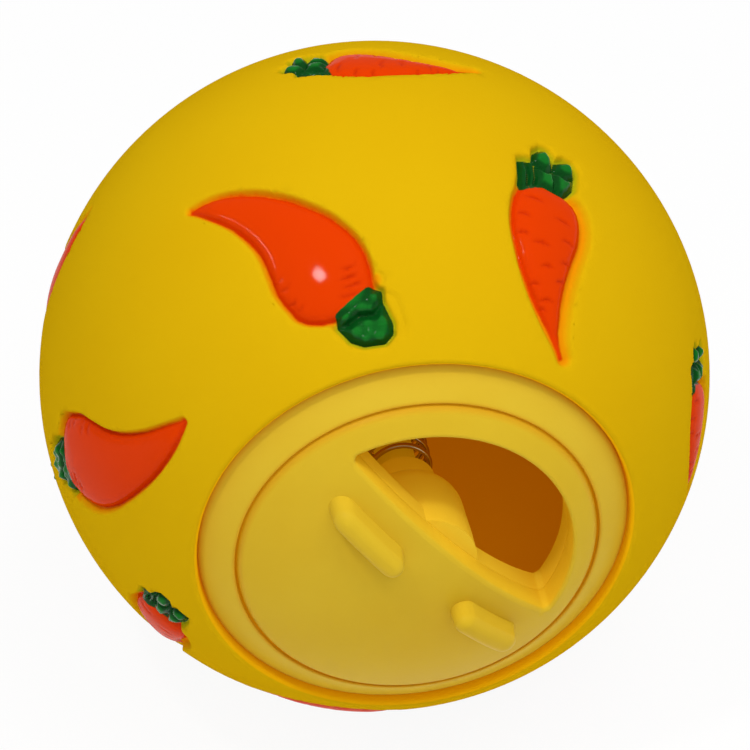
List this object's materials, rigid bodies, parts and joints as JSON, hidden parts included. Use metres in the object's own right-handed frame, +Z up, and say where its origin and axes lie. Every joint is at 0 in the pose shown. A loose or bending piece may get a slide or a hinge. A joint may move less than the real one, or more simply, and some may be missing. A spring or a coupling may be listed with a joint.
{
  "type": "treat dispensing ball",
  "caption": "Hollow soft vinyl treat ball with moulded carrots and chilli peppers; a spring-held domed disc in its mouth turns to set how wide the D-shaped opening is.",
  "frame": {"origin": "the point on the floor that the ball stands on, under its centre", "axes": "+Z up; the mouth looks along -Y, so the ring, disc, boss and spring share a level axis through the ball's centre, 35 mm above the floor; +X to the right as one looks into the mouth"},
  "size_m": [0.07, 0.071, 0.07],
  "materials": {
    "vinyl": "satin",
    "ring_plastic": "satin",
    "disc_plastic": "satin",
    "spring_wire": "drawn wire",
    "washer_steel": "zinc plated",
    "screw_steel": "zinc plated"
  },
  "bodies": {
    "ball": {"ball_shell": "vinyl", "mouth_frame": "ring_plastic", "disc_spring": "spring_wire"},
    "washer": {"spring_washer": "washer_steel"},
    "selector": {"selector_disc": "disc_plastic", "retaining_screw": "screw_steel"}
  },
  "joints": [
    {"name": "disc_lift", "type": "slide", "parent": "ball", "child": "washer", "axis": [0, -1, 0], "range_m": [0, 0.0025], "stiffness_N_per_m": 500, "springref_m": -0.003, "deforming": ["disc_spring"]},
    {"name": "disc_turn", "type": "hinge", "parent": "washer", "child": "selector", "pos_m": [0, 0, 0.035], "axis": [0, -1, 0], "continuous": true}
  ]
}
